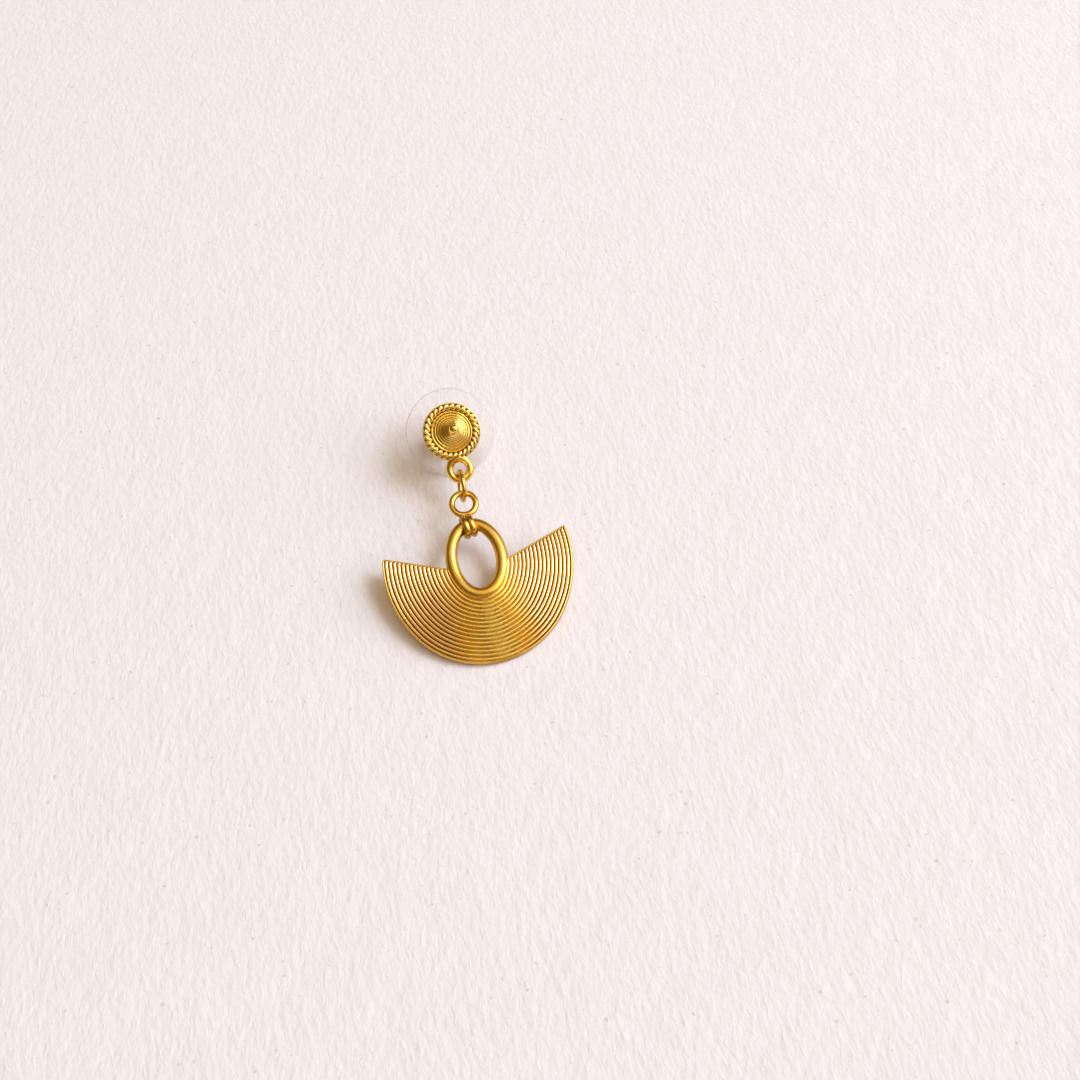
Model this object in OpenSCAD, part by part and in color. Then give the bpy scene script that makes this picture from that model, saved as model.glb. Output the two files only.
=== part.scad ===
// Fan earring, one of a pair, lying as it is laid down on a table.
// The ear stud leans back on its clear clutch, and the ridged fan drop reaches forward
// from it on a short run of links, with its lower edge on the table.
// X is across the fan, +Y runs from the fan's foot towards the stud, +Z is up.

/* [Stud head] */
// Diameter of the round stud head
stud_d = 6.9; // [5.5:0.1:9]
// Thickness of the head at its rim
stud_thick = 1.0; // [0.8:0.1:1.6]
// Width of the twisted rope border
rope_w = 0.92; // [0.6:0.02:1.1]
// Number of grains in the rope border
rope_grains = 28; // [20:1:34]
// Slant of each rope grain from the run of the rim
rope_slant = 40; // [25:1:55]
// Number of rings turned on the low cone
ring_count = 4; // [2:1:6]
// How far each ring stands above its grooves
ring_relief = 0.09; // [0.04:0.01:0.15]
// Height of the low cone at the foot of the boss
cone_rise = 0.45; // [0.2:0.05:0.8]
// Diameter of the boss at its foot
boss_d = 1.9; // [1.4:0.1:2.4]
// Height of the boss above the rim, to the middle of its ball
boss_rise = 1.25; // [0.9:0.05:1.6]
// Diameter of the ball on the tip
ball_d = 0.7; // [0.5:0.05:0.9]

/* [Stud loop] */
// Outer diameter of the soldered loop
loop_d = 3.4; // [3:0.1:4.2]
// Thickness of the loop's wire
loop_wire = 0.88; // [0.7:0.02:0.95]
// How far the loop's wire sinks into the rim where it is soldered
loop_bite = 0.6; // [0.4:0.05:0.8]

/* [Post and clutch] */
// Diameter of the ear post
post_d = 0.9; // [0.7:0.05:1.1]
// Bare length of post between the head and the clear disc's rim
post_gap = 5.1; // [4:0.1:8]
// Diameter of the clear clutch disc
disc_d = 11; // [9:0.1:13]
// Thickness of the disc at its round edge
disc_edge = 0.6; // [0.4:0.05:0.9]
// How far the disc is dished
disc_dish = 0.5; // [0.2:0.05:0.8]
// Diameter of the hub in the middle of the disc
hub_d = 5.1; // [4.6:0.1:6]
// Diameter of the gold barrel's back end
barrel_d = 3.5; // [3:0.1:4]
// Length of the barrel behind the middle of the disc's edge
barrel_back = 2.9; // [2.4:0.1:4]
// Diameter of the barrel's front flange
flange_d = 3.85; // [3.4:0.05:4.4]
// Height of the barrel's cone in front of the middle of the disc's edge
barrel_front = 0.75; // [0.5:0.05:1.2]
// Roundness of the barrel's back edge
barrel_round = 0.3; // [0.1:0.05:0.4]

/* [Links] */
// Outer diameter of the jump ring
jump_d = 4.3; // [4:0.1:5]
// Thickness of the jump ring's wire
jump_wire = 0.65; // [0.5:0.05:0.7]
// Turn of the jump ring about the line of the chain
jump_turn = 9; // [0:1:15]
// Outer diameter of the top ring
top_ring_d = 3.62; // [3.4:0.02:4.4]
// Thickness of the top ring's wire
top_ring_wire = 0.75; // [0.6:0.05:0.85]
// Width of one band of the double bail
band_w = 0.86; // [0.7:0.02:1]
// Thickness of a bail band
band_thick = 0.58; // [0.4:0.02:0.7]
// How steeply the top ring rises towards the stud
top_ring_slope = 6; // [0:1:10]

/* [Fan drop] */
// Width of the oval's hole
hole_w = 4.4; // [3.8:0.1:5.5]
// Height of the oval's hole
hole_h = 7.4; // [6.6:0.1:9]
// Thickness of the oval's wire
oval_wire = 1.35; // [1.1:0.05:1.5]
// Number of ridges round the fan
ridge_count = 15; // [10:1:18]
// Distance from one ridge to the next
ridge_pitch = 0.497; // [0.4:0.001:0.6]
// How far the ridges stand above their grooves
ridge_relief = 0.26; // [0.15:0.01:0.35]
// Thickness of the fan's plate at the grooves
plate = 0.78; // [0.6:0.02:1]
// How far the middle of the ridges' arcs lies below the middle of the oval
arc_drop = 1.03; // [0.6:0.01:1.6]
// Slope of the fan's upper edges
wing_slope = 20; // [10:1:30]
// How far the inner ends of the upper edges lie below the middle of the oval
wing_root = 0.5; // [0:0.1:1.5]

/* [Fits] */
// Play between one link and the next
link_play = 0.1; // [0.08:0.01:0.15]
// Play between the post and the barrel's bore, at the radius
post_play = 0.05; // [0.03:0.01:0.08]
// Play between the clear disc and the barrel
disc_play = 0.05; // [0.03:0.01:0.08]
// Play between the bail and the oval's wire
bail_play = 0.2; // [0.16:0.01:0.25]

/* [Hidden] */
gold = [0.86, 0.64, 0.22];
clear = [0.93, 0.93, 0.95, 0.45];

// Radii that more than one piece needs
stud_r = stud_d / 2;
disc_r = disc_d / 2;
edge_r = disc_edge / 2;
barrel_r = barrel_d / 2;
flange_r = flange_d / 2;
post_r = post_d / 2;
bore_r = post_r + post_play;
waist_r = barrel_r - 0.2;
loop_r = (loop_d - loop_wire) / 2;
jump_r = (jump_d - jump_wire) / 2;
top_ring_r = (top_ring_d - top_ring_wire) / 2;

// The stud leans on the disc's edge and on the barrel's back edge, which both touch the table
lean_a = (disc_r - edge_r) - (barrel_r - barrel_round);
lean_b = barrel_back - barrel_round;
lean = acos((barrel_round - edge_r) / norm([lean_a, lean_b])) - atan2(lean_b, lean_a);
disc_z = (disc_r - edge_r) * cos(lean) + edge_r;

// Places along the stud's own axis, from the middle of the disc's edge
stud_back = post_gap;
stud_front = post_gap + stud_thick;
loop_y = -(stud_r + loop_d / 2 - loop_bite);
loop_z = stud_back + loop_wire / 2 + 0.02;

// The chain in the upright plane, as [y, z] from the middle of the disc's edge
function on_lean(y, z) = [y * sin(lean) - z * cos(lean), y * cos(lean) + z * sin(lean)];
function along(angle) = [-cos(angle), -sin(angle)];
loop_foot = on_lean(loop_y - loop_r, loop_z) + [0, disc_z];
jump_mid = loop_foot + along(0) * (jump_r - jump_wire / 2 - link_play - loop_wire / 2);
ring_head = jump_mid + along(0) * (jump_r - jump_wire / 2 - link_play - top_ring_wire / 2);
top_ring_mid = ring_head + along(top_ring_slope) * top_ring_r;

// The double bail, and the middle of the oval's wire inside it
bail_in = oval_wire / 2 + bail_play;
bail_r = bail_in + band_thick / 2;
bail_reach = bail_in + band_thick + top_ring_r;
oval_head = top_ring_mid + along(top_ring_slope) * bail_reach;

// The oval, along the middle of its wire
oval_w = (hole_w + oval_wire) / 2;
oval_h = (hole_h + oval_wire) / 2;
oval_lift = oval_wire / 2 + 0.02;

// The ridges begin just outside the oval's sides
root_x = oval_w + oval_wire / 2;
ridge_start = norm([root_x, arc_drop]) + 0.05;
ridge_end = ridge_start + ridge_count * ridge_pitch;
plate_start = ridge_start - oval_wire / 2;
edge_cut = 0.12;
fan_foot = arc_drop + ridge_end;

// The fan leans from its foot on the table to the bail
fan_reach = norm([fan_foot - edge_cut + oval_h, oval_lift]);
fan_lean = asin(oval_head[1] / fan_reach) - atan2(oval_lift, fan_foot - edge_cut + oval_h);
function on_fan(y, z) = [y * cos(fan_lean) - z * sin(fan_lean), y * sin(fan_lean) + z * cos(fan_lean)];
oval_mid = oval_head - on_fan(oval_h, oval_lift);

// The whole earring is centred front to back over the row's origin
back_y = (disc_r - edge_r) * sin(lean) + edge_r;
front_y = oval_mid[0] + on_fan(-fan_foot, plate)[0];
shift_y = -(back_y + front_y) / 2;

// Places a piece that is drawn along the stud's axis
module on_stud() {
  translate([0, shift_y, disc_z]) rotate([90 - lean, 0, 0]) children();
}

// Places a piece that is drawn flat, at a point of the upright plane and a slope
module in_plane(point, slope) {
  translate([0, point[0] + shift_y, point[1]]) rotate([slope, 0, 0]) children();
}

// A ring of round wire, lying flat
module wire_ring(radius, wire) {
  rotate_extrude($fn = 64) translate([radius, 0]) circle(d = wire, $fn = 24);
}

// Height of the stud's low cone over the rim at radius r, without its rings
cone_out = stud_r - rope_w - 0.08;
ring_pitch = (cone_out - boss_d / 2) / ring_count;
function cone_z(r) = stud_front + cone_rise * (cone_out - r) / (cone_out - boss_d / 2);

// The outline of the head: flat back, round rim, ringed cone and hollow-sided boss
module head_outline() {
  steps = 6;
  rim_cut = 0.1;
  boss_top = stud_front + boss_rise;
  neck = ball_d * 0.42;
  rings = [for (i = [0:ring_count - 1], j = [0:steps - 1])
    let (r = cone_out - (i + j / steps) * ring_pitch)
    [r, cone_z(r) + ring_relief * sin(180 * j / steps) - 0.04]];
  boss = [for (k = [0:steps])
    let (f = k / steps, r = boss_d / 2 + (neck - boss_d / 2) * f)
    [r, cone_z(boss_d / 2) + (boss_top - cone_z(boss_d / 2)) * pow(f, 1.35)]];
  polygon(concat(
    [[0, stud_back], [stud_r - rim_cut, stud_back], [stud_r, stud_back + rim_cut],
     [stud_r, stud_front - rim_cut], [stud_r - rim_cut, stud_front], [cone_out + 0.05, stud_front]],
    rings, boss, [[0, boss_top]]));
}

// One slanted grain of the rope border, a round-ended pin
module rope_grain() {
  grain_r = rope_w * 0.26;
  half = (rope_w / 2 - grain_r) / sin(rope_slant);
  rotate([0, 0, rope_slant]) rotate([90, 0, 0]) {
    translate([0, 0, -half]) cylinder(r = grain_r, h = 2 * half, $fn = 20);
    translate([0, 0, -half]) sphere(r = grain_r, $fn = 20);
    translate([0, 0, half]) sphere(r = grain_r, $fn = 20);
  }
}

// The rope border, laid on the head near its rim
module rope_border() {
  rope_mid = stud_r - rope_w / 2 - 0.02;
  for (i = [0:rope_grains - 1])
    rotate([0, 0, i * 360 / rope_grains]) translate([rope_mid, 0, stud_front + 0.06]) rope_grain();
}

// The stud: head, rope, ball, post and loop, soldered into one
module stud() {
  post_end = 0.4;
  color(gold) on_stud() {
    rotate_extrude($fn = 96) head_outline();
    rope_border();
    translate([0, 0, stud_front + boss_rise]) sphere(d = ball_d, $fn = 32);
    translate([0, 0, post_end - barrel_back])
      cylinder(r = post_r, h = stud_back + 0.3 + barrel_back - post_end, $fn = 32);
    translate([0, loop_y, loop_z]) wire_ring(loop_r, loop_wire);
  }
}

// The clear disc: a dished plate with a round edge and a stepped hub
module clutch_disc() {
  hub_front = -disc_play;
  hub_back = hub_front - 1.0;
  step = 0.3;
  rim_y = disc_r - edge_r;
  in_r = waist_r + disc_play;
  rim = [for (a = [-90:15:90]) [rim_y + edge_r * cos(a), edge_r * sin(a)]];
  color(clear) on_stud() rotate_extrude($fn = 96)
    polygon(concat(
      [[in_r, hub_back], [hub_d / 2, hub_back], [hub_d / 2 + step, -disc_dish - edge_r]],
      rim,
      [[hub_d / 2 + step, edge_r - disc_dish], [hub_d / 2, edge_r - disc_dish],
       [hub_d / 2, hub_front - 0.12], [hub_d / 2 - step, hub_front - 0.12],
       [hub_d / 2 - step, hub_front], [in_r, hub_front]]));
}

// The gold barrel: a coned front flange, a waist that holds the disc, and a round back
module clutch_barrel() {
  flange_z = 0.3;
  lip = 0.25;
  shoulder = -1.0 - 3 * disc_play;
  back = [for (a = [0:15:90])
    [barrel_r - barrel_round + barrel_round * cos(a), -lean_b - barrel_round * sin(a)]];
  color(gold) on_stud() rotate_extrude($fn = 64)
    polygon(concat(
      [[bore_r, barrel_front], [flange_r - lip, flange_z], [flange_r - lip / 2, flange_z + 0.04],
       [flange_r, flange_z - lip / 2], [flange_r, 0.1], [flange_r - 0.1, 0], [waist_r, 0],
       [waist_r, shoulder], [barrel_r, shoulder]],
      back, [[bore_r, -barrel_back]]));
}

// The round jump ring, upright, turned a little about the line of the chain
module jump_ring() {
  color(gold) in_plane(jump_mid, 0) rotate([0, jump_turn, 0]) rotate([0, 90, 0])
    wire_ring(jump_r, jump_wire);
}

// One band of the bail, round the oval's wire
module bail_band() {
  sides = 16;
  rotate([0, 90, 0]) rotate_extrude($fn = 48)
    polygon([for (i = [0:sides - 1])
      [bail_r + band_thick / 2 * cos(i * 360 / sides), band_w / 2 * sin(i * 360 / sides)]]);
}

// The top ring and its double bail, soldered into one
module bail_ring() {
  spread = band_w * 0.52;
  color(gold) in_plane(oval_head, top_ring_slope) {
    translate([-spread, 0, 0]) bail_band();
    translate([spread, 0, 0]) bail_band();
    translate([0, bail_reach, 0]) wire_ring(top_ring_r, top_ring_wire);
  }
}

// The oval of round wire, swept along an ellipse
module oval() {
  stations = 56;
  sides = 16;
  points = [for (k = [0:stations - 1], j = [0:sides - 1])
    let (a = k * 360 / stations, b = j * 360 / sides,
      out = [oval_h * cos(a), oval_w * sin(a)],
      reach = oval_wire / 2 * cos(b) / norm(out))
    [oval_w * cos(a) + out[0] * reach, oval_h * sin(a) + out[1] * reach, oval_wire / 2 * sin(b)]];
  faces = [for (k = [0:stations - 1], j = [0:sides - 1])
    let (next = (k + 1) % stations, up = (j + 1) % sides)
    [k * sides + j, k * sides + up, next * sides + up, next * sides + j]];
  polyhedron(points, faces);
}

// The fan cut across its ridges, from the oval to the rim
module ridge_profile() {
  steps = 6;
  ridges = [for (i = [0:ridge_count - 1], j = [0:steps - 1])
    [ridge_start + (i + j / steps) * ridge_pitch, plate + ridge_relief * pow(sin(180 * j / steps), 0.75)]];
  polygon(concat(
    [[plate_start, 0], [plate_start, plate]], ridges,
    [[ridge_end, plate], [ridge_end, edge_cut], [ridge_end - edge_cut, 0]]));
}

// The ridged plate, trimmed along its two straight upper edges
module ridged_plate() {
  past = 10;
  far = ridge_end * 2;
  wing_y = (far - root_x) * tan(wing_slope) - wing_root;
  difference() {
    translate([0, -arc_drop, 0]) rotate([0, 0, -180 - past - wing_slope])
      rotate_extrude(angle = 180 + 2 * (past + wing_slope), $fn = 180) ridge_profile();
    translate([0, 0, -1]) linear_extrude(height = plate + ridge_relief + 2)
      polygon([[-root_x, -wing_root], [root_x, -wing_root], [far, wing_y],
        [far, far], [-far, far], [-far, wing_y]]);
  }
}

// The drop: oval and fan, cast as one
module fan_drop() {
  color(gold) in_plane(oval_mid, fan_lean) {
    ridged_plate();
    translate([0, 0, oval_lift]) oval();
  }
}

stud();
clutch_disc();
clutch_barrel();
jump_ring();
bail_ring();
fan_drop();
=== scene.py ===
from math import acos, atan2, cos, hypot, pi, radians, sin

import bpy
import bmesh
from mathutils import Matrix, Vector


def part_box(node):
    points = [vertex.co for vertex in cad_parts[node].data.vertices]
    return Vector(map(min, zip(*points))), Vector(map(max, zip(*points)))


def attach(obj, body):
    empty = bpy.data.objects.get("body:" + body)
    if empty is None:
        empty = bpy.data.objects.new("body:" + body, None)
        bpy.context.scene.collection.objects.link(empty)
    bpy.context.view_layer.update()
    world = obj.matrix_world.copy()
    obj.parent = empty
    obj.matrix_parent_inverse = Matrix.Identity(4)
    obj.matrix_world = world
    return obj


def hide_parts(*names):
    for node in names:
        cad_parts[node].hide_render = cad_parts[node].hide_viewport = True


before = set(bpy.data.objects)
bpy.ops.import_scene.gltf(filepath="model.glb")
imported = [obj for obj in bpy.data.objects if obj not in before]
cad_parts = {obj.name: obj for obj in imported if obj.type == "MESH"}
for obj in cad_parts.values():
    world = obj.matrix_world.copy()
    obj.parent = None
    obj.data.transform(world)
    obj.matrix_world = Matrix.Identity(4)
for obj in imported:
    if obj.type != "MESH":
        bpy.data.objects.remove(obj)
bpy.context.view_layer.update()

MM = 0.001

# Stud head, along its own axis, from the middle of the clutch disc's edge
STUD_R = 3.45 * MM
STUD_BACK = 5.1 * MM
STUD_FRONT = 6.1 * MM
RIM_W = 0.16 * MM
ROPE_W = 0.71 * MM
ROPE_GRAINS = 28
ROPE_UP = 0.02 * MM
BED_DEEP = 0.2 * MM
CONE_PLAY = 0.02 * MM
CONE_R = STUD_R - RIM_W - ROPE_W - CONE_PLAY
CONE_FOOT = -0.25 * MM
CONE_RISE = 0.98 * MM
CONE_HOLLOW = 1.5
RING_FIRST = 0.34 * MM
RING_NARROWING = 0.9
RING_RELIEF = 0.3
RING_FADE = 0.92
BALL_R = 0.62 * MM
BALL_RISE = 1.33 * MM
NECK_R = BALL_R * 0.84
CONE_LEAN = (0.16, 0.15)
STUD_SIDES = 160

# Soldered loop and ear post
LOOP_R = 1.22 * MM
LOOP_WIRE = 0.95 * MM
LOOP_BITE = 0.555 * MM
LOOP_SOLDER = 0.5
LOOP_SIDE = 0.17 * MM
LOOP_UP = 0.02 * MM
POST_R = 0.45 * MM
POST_END = -2.5 * MM
POST_SUNK = 0.3 * MM
POST_SIDES = 48

# Clear disc and gold barrel of the clutch
DISC_R = 5.5 * MM
DISC_EDGE_R = 0.3 * MM
DISC_DISH = 0.5 * MM
HUB_R = 2.55 * MM
HUB_THICK = 1.0 * MM
BARREL_R = 1.75 * MM
BARREL_BACK = 2.9 * MM
BARREL_ROUND = 0.3 * MM
BARREL_FRONT = 0.75 * MM
FLANGE_R = 1.925 * MM
WAIST_R = BARREL_R - 0.2 * MM
CLUTCH_PLAY = 0.05 * MM
CLUTCH_LIP = 0.12 * MM
DISC_SIDES = 160
BARREL_SIDES = 96

# Links
LINK_PLAY = 0.1 * MM
JUMP_R = 1.825 * MM
JUMP_WIRE = 0.65 * MM
JUMP_TURN = 6.5
JUMP_THINNER = 0.045 * MM
JUMP_TIGHTER = 0.03 * MM
TOP_RING_R = 1.435 * MM
TOP_RING_WIRE = 0.75 * MM
TOP_RING_SLOPE = 6
BAND_W = 0.8 * MM
BAND_THICK = 0.58 * MM
BAIL_INSIDE = 0.875 * MM
BAND_SLANT = 4
BAIL_TURN = 9
BAIL_DOWN = 0.07 * MM
LINK_SIDE = -0.2 * MM

# Oval and fan, in the fan's own plane, from the middle of the oval
HOLE_W = 4.4 * MM
HOLE_H = 7.03 * MM
OVAL_WIRE = 1.47 * MM
OVAL_UP = 0.25 * MM
OVAL_LIFT = 0.695 * MM
FAN = {
    "Ridges": 15,
    "Pitch": 0.474 * MM,
    "Lip": 0.13 * MM,
    "Ridge fullness": 0.9,
    "Worn half": 1.15 * MM,
    "Worn lean": 0.1,
    "Worn spread": 0.2,
    "Worn fade": 1.2,
    "Worn reach": 0.2,
    "Worn share": 0.62,
    "Worn lift": 0.6,
    "Ragged": 0.6 * MM,
    "Ragged share": 1.3,
    "Foot half": 2.6 * MM,
    "Foot relief": 0.62,
    "First groove": 3.16 * MM,
    "Relief": 0.27 * MM,
    "Plate": 0.78 * MM,
    "Side middle": 2.38 * MM,
    "Foot middle": 1.7 * MM,
    "Root across": 3.65 * MM,
    "Root below": 0.27 * MM,
    "Edge slope": radians(20),
    "Edge round": 0.16 * MM,
    "Rim round": 0.2 * MM,
    "Border": 0.22 * MM,
    "Border height": 0.55,
    "Border start": 0.4,
    "Border sharpness": 2.2,
    "Tip round": 0.45 * MM,
    "Groove share": 0.08,
    "Half columns": 90,
    "Border columns": 5,
    "Edge columns": 4,
    "Rows per ridge": 10,
    "Inner rows": 12,
    "Edge rows": 8,
}
FAN_LEAN = 11.866
FAN_MIDDLE = (-18.3675 * MM, 2.48979 * MM)
FAN_SIDE = 0.1 * MM

# The camera, as seen from the middle of the laid earring's floor
CAMERA_AZIMUTH = -12.354
CAMERA_HEIGHT = 61.527
CAMERA_FAR = 121.94 * MM
CAMERA_AIM = (8.134 * MM, -2.773 * MM)
PHOTO_SIDE = 1080
FOCAL_PIXELS = 1000
SENSOR = 36
SEEN_FROM = 0.005
SEEN_TO = 20

# Angles, in degrees, from which an edge is drawn sharp
SHARP_ANGLE = 38
FAN_SHARP_ANGLE = 50

# Golds: two tones of the metal, the painted shade of its grooves and hollows, its roughness and its
# grain's depth
GOLDS = {
    "stud gold": ((1.0, 0.72, 0.19), (0.93, 0.57, 0.085), (0.26, 0.085, 0.003), 0.2, 0.004 * MM),
    # The links and the oval are darker copies of the same gold: painted shade
    "shaded link gold": ((0.87, 0.56, 0.12), (0.78, 0.45, 0.07), (0.34, 0.13, 0.005), 0.23, 0.005 * MM),
    "fan gold": ((0.99, 0.74, 0.20), (0.96, 0.66, 0.14), (0.42, 0.142, 0.005), 0.27, 0.007 * MM),
    "shaded oval gold": ((0.81, 0.51, 0.11), (0.70, 0.39, 0.056), (0.34, 0.13, 0.005), 0.29, 0.006 * MM),
    "barrel gold": ((0.98, 0.66, 0.20), (0.94, 0.56, 0.12), (0.42, 0.142, 0.005), 0.13, 0.001 * MM),
}
# Painted highlight on the crests of the fan's wings and on the rope's tops
PAINTED_HIGHLIGHT = (1.0, 0.89, 0.54)
WORN_GOLD = (0.50, 0.265, 0.028)
CLOUD_W = 1.6 * MM
PATCH_W = 0.35 * MM
COARSE_W = 0.2 * MM
GRAIN_W = 0.09 * MM

# Clear plastic and paper
PLASTIC_FACE = (0.84, 0.77, 0.75)
PLASTIC_EDGE_SHADE = (0.60, 0.50, 0.47)
PLASTIC_BENDING = 1.49
HAZE_W = 0.9 * MM
PAPER_LOW = (0.865, 0.79, 0.77)
PAPER_HIGH = (0.88, 0.815, 0.795)
PAPER_SPECK = (0.50, 0.36, 0.26)
PAPER_RELIEF = 0.22 * MM
BLOT_W = 7 * MM
SWELL_W = 2.6 * MM
FIBRE_W = 0.7 * MM
NICK_W = 0.6 * MM
SPECK_W = 0.7 * MM
FIBRE_STRETCH = 2.0
FIBRE_TURN = CAMERA_AZIMUTH - 8
FLOOR_HALF = 1.5

# Light of the studio round the earring, in red, green and blue
DIM_GLOW = (0.15, 0.105, 0.055)
OVERHEAD_GLOW = (0.94, 0.77, 0.56)
LEFT_GLOW = (0.06, 0.045, 0.03)
FRONT_GLOW = (0.44, 0.35, 0.23)
WINDOW_GLOW = (2.75, 2.9, 3.3)
BACKDROP = (0.88, 0.80, 0.78)

# The high soft light: its shares of the picture's right and of the way over the table, its
# distance, its width, and the brightness and colour of its face
KEY_LIGHT = {
    "across": 0.7,
    "away": 0.12,
    "far": 0.9,
    "width": 0.38,
    "radiance": 9.6,
    "colour": (0.64, 0.82, 1.0),
}


def stud_lean():
    """How far the stud's axis lies down, with the disc's edge and the barrel's end on the table."""
    out = DISC_R - DISC_EDGE_R - (BARREL_R - BARREL_ROUND)
    back = BARREL_BACK - BARREL_ROUND
    return acos((BARREL_ROUND - DISC_EDGE_R) / hypot(out, back)) - atan2(back, out)


LEAN = stud_lean()
DISC_Z = (DISC_R - DISC_EDGE_R) * cos(LEAN) + DISC_EDGE_R
SHIFT_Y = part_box("clutch_disc")[1].y - (DISC_R - DISC_EDGE_R) * sin(LEAN) - DISC_EDGE_R


def in_plane(y, z, slope):
    """Place of a piece drawn flat: a point of the upright plane, and its slope in degrees."""
    return Matrix.Translation((0, y + SHIFT_Y, z)) @ Matrix.Rotation(radians(slope), 4, "X")


def on_lean(y, z):
    """A point of the stud's own upright plane, in the row's."""
    return y * sin(LEAN) - z * cos(LEAN), y * cos(LEAN) + z * sin(LEAN) + DISC_Z


ON_STUD = Matrix.Translation((0, SHIFT_Y, DISC_Z)) @ Matrix.Rotation(pi / 2 - LEAN, 4, "X")
LOOP_Y = -(STUD_R + LOOP_R + LOOP_WIRE / 2 - LOOP_BITE)
LOOP_Z = STUD_BACK + LOOP_WIRE / 2 + LOOP_UP
LOOP_FOOT = on_lean(LOOP_Y - LOOP_R, LOOP_Z)
JUMP_MIDDLE = (LOOP_FOOT[0] - (JUMP_R - JUMP_WIRE / 2 - LINK_PLAY - LOOP_WIRE / 2), LOOP_FOOT[1])
RING_HEAD_Y = JUMP_MIDDLE[0] - (JUMP_R - JUMP_WIRE / 2 - LINK_PLAY - TOP_RING_WIRE / 2)
SLOPE_COS = cos(radians(TOP_RING_SLOPE))
SLOPE_SIN = sin(radians(TOP_RING_SLOPE))
TOP_RING_MIDDLE = (RING_HEAD_Y - TOP_RING_R * SLOPE_COS, JUMP_MIDDLE[1] - TOP_RING_R * SLOPE_SIN)
BAIL_R = BAIL_INSIDE + BAND_THICK / 2
BAIL_REACH = BAIL_R + BAND_THICK / 2 + TOP_RING_R
BAIL_MIDDLE = (TOP_RING_MIDDLE[0] - BAIL_REACH * SLOPE_COS, TOP_RING_MIDDLE[1] - BAIL_REACH * SLOPE_SIN)


class Num:
    """A number in a node tree, on which plain arithmetic adds Math nodes."""

    def __init__(self, tree, socket):
        self.tree = tree
        self.socket = socket

    def math(self, operation, *others):
        """The result of one Math node on this number and the others."""
        node = self.tree.nodes.new("ShaderNodeMath")
        node.operation = operation
        for socket, value in zip(node.inputs, (self, *others)):
            plug(self.tree, value, socket)
        return Num(self.tree, node.outputs[0])

    def __add__(self, other):
        return self.math("ADD", other)

    def __sub__(self, other):
        return self.math("SUBTRACT", other)

    def __mul__(self, other):
        return self.math("MULTIPLY", other)

    def __truediv__(self, other):
        return self.math("DIVIDE", other)

    def __neg__(self):
        return self * -1

    def __rsub__(self, other):
        return -self + other

    def __rtruediv__(self, other):
        return self.math("POWER", -1.0) * other

    __radd__ = __add__
    __rmul__ = __mul__

    def sin(self):
        return self.math("SINE")

    def cos(self):
        return self.math("COSINE")

    def root(self):
        return self.math("SQRT")

    def size(self):
        return self.math("ABSOLUTE")

    def least(self, other):
        return self.math("MINIMUM", other)

    def most(self, other):
        return self.math("MAXIMUM", other)

    def share(self):
        """The number held between 0 and 1."""
        return self.most(0.0).least(1.0)


def plug(tree, value, socket):
    """Links a number or a socket to an input, or sets the input to a plain value."""
    if isinstance(value, Num):
        tree.links.new(value.socket, socket)
    elif isinstance(value, bpy.types.NodeSocket):
        tree.links.new(value, socket)
    else:
        socket.default_value = value


def add(tree, kind, settings=None, **inputs):
    """Adds a node, sets its settings and plugs its inputs, whose names have _ for a space."""
    node = tree.nodes.new(kind)
    for name, value in (settings or {}).items():
        setattr(node, name, value)
    for name, value in inputs.items():
        plug(tree, value, node.inputs[name.replace("_", " ")])
    return node.outputs[0]


def ramp(value, start, stop):
    """How far a number is on its way from start to stop, from 0 to 1."""
    return ((value - start) * (1 / (stop - start))).share()


def new_shape(name, sizes):
    """A geometry tree with a named input for each size, and the sizes as numbers."""
    tree = bpy.data.node_groups.new(name, "GeometryNodeTree")
    tree.interface.new_socket("Geometry", in_out="OUTPUT", socket_type="NodeSocketGeometry")
    tree.interface.new_socket("Geometry", in_out="INPUT", socket_type="NodeSocketGeometry")
    for label, value in sizes.items():
        kind = "NodeSocketInt" if isinstance(value, int) else "NodeSocketFloat"
        tree.interface.new_socket(label, in_out="INPUT", socket_type=kind)
    tree.interface.new_socket("Material", in_out="INPUT", socket_type="NodeSocketMaterial")
    entry = tree.nodes.new("NodeGroupInput")
    return tree, {socket.name: Num(tree, socket) for socket in entry.outputs if socket.name}


def place_of(tree):
    """The x, y and z of each point, as numbers."""
    split = tree.nodes.new("ShaderNodeSeparateXYZ")
    tree.links.new(add(tree, "GeometryNodeInputPosition"), split.inputs[0])
    return tuple(Num(tree, socket) for socket in split.outputs)


def moved(tree, geometry, x, y, z):
    """The geometry with each point moved to x, y, z."""
    spot = add(tree, "ShaderNodeCombineXYZ", X=x, Y=y, Z=z)
    return add(tree, "GeometryNodeSetPosition", Geometry=geometry, Position=spot)


def marked(tree, geometry, name, share):
    """The geometry with a mark on each point, from 0 to 1: how much painted shade it gets, as in
    grooves, how much painted highlight, as on crests, or how worn."""
    return add(tree, "GeometryNodeStoreNamedAttribute", {"data_type": "FLOAT", "domain": "POINT"},
               Geometry=geometry, Name=name, Value=share)


def shape_mark(tree, name):
    """A mark that the points already have, as a number."""
    return Num(tree, add(tree, "GeometryNodeInputNamedAttribute", {"data_type": "FLOAT"}, Name=name))


def close_shape(tree, geometry, size):
    """Ends a tree with real geometry and its material."""
    real = add(tree, "GeometryNodeRealizeInstances", Geometry=geometry)
    painted = add(tree, "GeometryNodeSetMaterial", Geometry=real, Material=size["Material"])
    result = tree.nodes.new("NodeGroupOutput")
    tree.links.new(painted, result.inputs["Geometry"])
    return tree


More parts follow.
